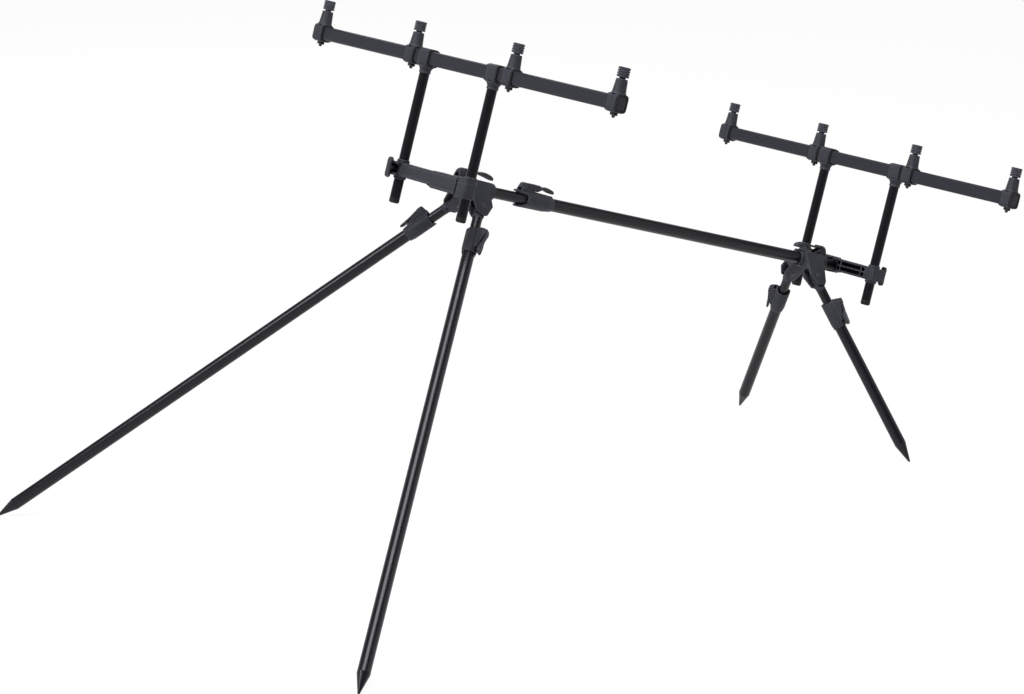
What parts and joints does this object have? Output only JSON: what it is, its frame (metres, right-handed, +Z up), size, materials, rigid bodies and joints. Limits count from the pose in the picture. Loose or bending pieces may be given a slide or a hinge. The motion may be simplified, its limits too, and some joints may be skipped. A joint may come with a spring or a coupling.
{
  "type": "rod pod",
  "caption": "Free-standing rod pod: a telescopic main bar on folding telescopic spiked legs, with a height-adjustable buzz bar on a goal post at each end.",
  "frame": {"origin": "on the ground under the middle of the pod, which stands on its spikes", "axes": "+X from the front to the rear along the ground, +Y to the pod's right, +Z up"},
  "size_m": [1.3408, 0.912, 0.7308],
  "materials": {
    "tube_black": "satin black anodised",
    "moulding_grey": "fine matte moulding",
    "lever_black": "fine matte moulding",
    "nut_black": "knurled matte",
    "pin_steel": "blackened steel",
    "spike_alloy": "satin black anodised"
  },
  "bodies": {
    "front_frame": {"main_inner_tube": "tube_black", "front_hub": "moulding_grey", "front_leg_pins": "pin_steel"},
    "rear_frame": {"main_outer_tube": "tube_black", "main_clamp": "moulding_grey", "rear_hub": "moulding_grey", "rear_leg_pins": "pin_steel"},
    "main_lever": {"main_lever": "lever_black"},
    "front_hub_lever": {"front_hub_lever": "lever_black"},
    "front_cross_arm": {"front_arm": "moulding_grey", "front_stem": "tube_black"},
    "front_wing_screw": {"front_arm_screw": "nut_black"},
    "front_goal_post": {"front_bar": "tube_black", "front_uprights": "tube_black", "front_upright_plugs": "moulding_grey", "front_tee_collars": "moulding_grey", "front_rests": "moulding_grey", "front_rest_bolts": "pin_steel"},
    "front_nut_1": {"front_nut_1": "nut_black"},
    "front_nut_2": {"front_nut_2": "nut_black"},
    "front_nut_3": {"front_nut_3": "nut_black"},
    "front_nut_4": {"front_nut_4": "nut_black"},
    "front_left_leg_upper": {"front_left_knuckle": "moulding_grey", "front_left_inner_tube": "tube_black"},
    "front_left_leg_lower": {"front_left_outer_tube": "tube_black", "front_left_clamp": "moulding_grey", "front_left_spike": "spike_alloy"},
    "front_left_lever": {"front_left_lever": "lever_black"},
    "front_right_leg_upper": {"front_right_knuckle": "moulding_grey", "front_right_inner_tube": "tube_black"},
    "front_right_leg_lower": {"front_right_outer_tube": "tube_black", "front_right_clamp": "moulding_grey", "front_right_spike": "spike_alloy"},
    "front_right_lever": {"front_right_lever": "lever_black"},
    "rear_hub_lever": {"rear_hub_lever": "lever_black"},
    "rear_cross_arm": {"rear_arm": "moulding_grey", "rear_stem": "tube_black"},
    "rear_wing_screw": {"rear_arm_screw": "nut_black"},
    "rear_goal_post": {"rear_bar": "tube_black", "rear_uprights": "tube_black", "rear_upright_plugs": "moulding_grey", "rear_tee_collars": "moulding_grey", "rear_rests": "moulding_grey", "rear_rest_bolts": "pin_steel"},
    "rear_nut_1": {"rear_nut_1": "nut_black"},
    "rear_nut_2": {"rear_nut_2": "nut_black"},
    "rear_nut_3": {"rear_nut_3": "nut_black"},
    "rear_nut_4": {"rear_nut_4": "nut_black"},
    "rear_left_leg_upper": {"rear_left_knuckle": "moulding_grey", "rear_left_inner_tube": "tube_black"},
    "rear_left_leg_lower": {"rear_left_outer_tube": "tube_black", "rear_left_clamp": "moulding_grey", "rear_left_spike": "spike_alloy"},
    "rear_left_lever": {"rear_left_lever": "lever_black"},
    "rear_right_leg_upper": {"rear_right_knuckle": "moulding_grey", "rear_right_inner_tube": "tube_black"},
    "rear_right_leg_lower": {"rear_right_outer_tube": "tube_black", "rear_right_clamp": "moulding_grey", "rear_right_spike": "spike_alloy"},
    "rear_right_lever": {"rear_right_lever": "lever_black"}
  },
  "joints": [
    {"name": "main_bar_slide", "type": "slide", "parent": "front_frame", "child": "rear_frame", "axis": [0.9541, 0, -0.2995], "range_m": [-0.035, 0.4]},
    {"name": "main_lever_open", "type": "hinge", "parent": "rear_frame", "child": "main_lever", "pos_m": [-0.03844, 0, 0.49191], "axis": [0, -1, 0], "range_deg": [0, 100]},
    {"name": "front_hub_lever_open", "type": "hinge", "parent": "front_frame", "child": "front_hub_lever", "pos_m": [-0.15263, 0, 0.5288], "axis": [0, -1, 0], "range_deg": [0, 100]},
    {"name": "front_arm_slide", "type": "slide", "parent": "front_frame", "child": "front_cross_arm", "axis": [-0.9541, 0, 0.2995], "range_m": [0, 0.02]},
    {"name": "front_wing_screw_turn", "type": "hinge", "parent": "front_cross_arm", "child": "front_wing_screw", "pos_m": [-0.21751, 0.0785, 0.53082], "axis": [0.9541, 0, -0.2995], "continuous": true},
    {"name": "front_post_height", "type": "slide", "parent": "front_cross_arm", "child": "front_goal_post", "axis": [0.2995, 0, 0.9541], "range_m": [-0.1, 0.025]},
    {"name": "front_nut_1_turn", "type": "hinge", "parent": "front_goal_post", "child": "front_nut_1", "pos_m": [-0.14034, -0.339, 0.71491], "axis": [0.2995, 0, 0.9541], "continuous": true},
    {"name": "front_nut_2_turn", "type": "hinge", "parent": "front_goal_post", "child": "front_nut_2", "pos_m": [-0.14034, -0.113, 0.71491], "axis": [0.2995, 0, 0.9541], "continuous": true},
    {"name": "front_nut_3_turn", "type": "hinge", "parent": "front_goal_post", "child": "front_nut_3", "pos_m": [-0.14034, 0.113, 0.71491], "axis": [0.2995, 0, 0.9541], "continuous": true},
    {"name": "front_nut_4_turn", "type": "hinge", "parent": "front_goal_post", "child": "front_nut_4", "pos_m": [-0.14034, 0.339, 0.71491], "axis": [0.2995, 0, 0.9541], "continuous": true},
    {"name": "front_left_leg_fold", "type": "hinge", "parent": "front_frame", "child": "front_left_leg_upper", "pos_m": [-0.13985, -0.02754, 0.47936], "axis": [0.1709, -0.8211, 0.5445], "range_deg": [0, 95]},
    {"name": "front_left_leg_extend", "type": "slide", "parent": "front_left_leg_upper", "child": "front_left_leg_lower", "axis": [-0.6366, -0.5138, -0.575], "range_m": [0, 0.5]},
    {"name": "front_left_lever_open", "type": "hinge", "parent": "front_left_leg_lower", "child": "front_left_lever", "pos_m": [-0.16315, -0.06836, 0.45294], "axis": [-0.5658, -0.1955, 0.8011], "range_deg": [0, 100]},
    {"name": "front_right_leg_fold", "type": "hinge", "parent": "front_frame", "child": "front_right_leg_upper", "pos_m": [-0.13985, 0.02754, 0.47936], "axis": [-0.1709, -0.8211, -0.5445], "range_deg": [0, 95]},
    {"name": "front_right_leg_extend", "type": "slide", "parent": "front_right_leg_upper", "child": "front_right_leg_lower", "axis": [-0.6366, 0.5138, -0.575], "range_m": [0, 0.5]},
    {"name": "front_right_lever_open", "type": "hinge", "parent": "front_right_leg_lower", "child": "front_right_lever", "pos_m": [-0.17631, 0.06401, 0.46362], "axis": [0.7367, 0.6257, -0.2565], "range_deg": [0, 100]},
    {"name": "rear_hub_lever_open", "type": "hinge", "parent": "rear_frame", "child": "rear_hub_lever", "pos_m": [0.562, 0, 0.30451], "axis": [0, 1, 0], "range_deg": [0, 100]},
    {"name": "rear_arm_slide", "type": "slide", "parent": "rear_frame", "child": "rear_cross_arm", "axis": [0.9541, 0, -0.2995], "range_m": [0, 0.02]},
    {"name": "rear_wing_screw_turn", "type": "hinge", "parent": "rear_cross_arm", "child": "rear_wing_screw", "pos_m": [0.61639, -0.0785, 0.2691], "axis": [-0.9541, 0, 0.2995], "continuous": true},
    {"name": "rear_post_height", "type": "slide", "parent": "rear_cross_arm", "child": "rear_goal_post", "axis": [0.2995, 0, 0.9541], "range_m": [-0.1, 0.025]},
    {"name": "rear_nut_1_turn", "type": "hinge", "parent": "rear_goal_post", "child": "rear_nut_1", "pos_m": [0.6581, 0.315, 0.46379], "axis": [0.2995, 0, 0.9541], "continuous": true},
    {"name": "rear_nut_2_turn", "type": "hinge", "parent": "rear_goal_post", "child": "rear_nut_2", "pos_m": [0.6581, 0.105, 0.46379], "axis": [0.2995, 0, 0.9541], "continuous": true},
    {"name": "rear_nut_3_turn", "type": "hinge", "parent": "rear_goal_post", "child": "rear_nut_3", "pos_m": [0.6581, -0.105, 0.46379], "axis": [0.2995, 0, 0.9541], "continuous": true},
    {"name": "rear_nut_4_turn", "type": "hinge", "parent": "rear_goal_post", "child": "rear_nut_4", "pos_m": [0.6581, -0.315, 0.46379], "axis": [0.2995, 0, 0.9541], "continuous": true},
    {"name": "rear_left_leg_fold", "type": "hinge", "parent": "rear_frame", "child": "rear_left_leg_upper", "pos_m": [0.52325, -0.02754, 0.27123], "axis": [-0.1709, 0.8211, -0.5445], "range_deg": [0, 110]},
    {"name": "rear_left_leg_extend", "type": "slide", "parent": "rear_left_leg_upper", "child": "rear_left_leg_lower", "axis": [0.16, -0.5222, -0.8377], "range_m": [0, 0.12]},
    {"name": "rear_left_lever_open", "type": "hinge", "parent": "rear_left_leg_lower", "child": "rear_left_lever", "pos_m": [0.53871, -0.067, 0.23791], "axis": [-0.8948, -0.435, 0.1002], "range_deg": [0, 100]},
    {"name": "rear_right_leg_fold", "type": "hinge", "parent": "rear_frame", "child": "rear_right_leg_upper", "pos_m": [0.52325, 0.02754, 0.27123], "axis": [0.1709, 0.8211, 0.5445], "range_deg": [0, 110]},
    {"name": "rear_right_leg_extend", "type": "slide", "parent": "rear_right_leg_upper", "child": "rear_right_leg_lower", "axis": [0.16, 0.5222, -0.8377], "range_m": [0, 0.12]},
    {"name": "rear_right_lever_open", "type": "hinge", "parent": "rear_right_leg_lower", "child": "rear_right_lever", "pos_m": [0.5203, 0.06649, 0.23407], "axis": [0.7558, 0.481, 0.4442], "range_deg": [0, 100]}
  ]
}
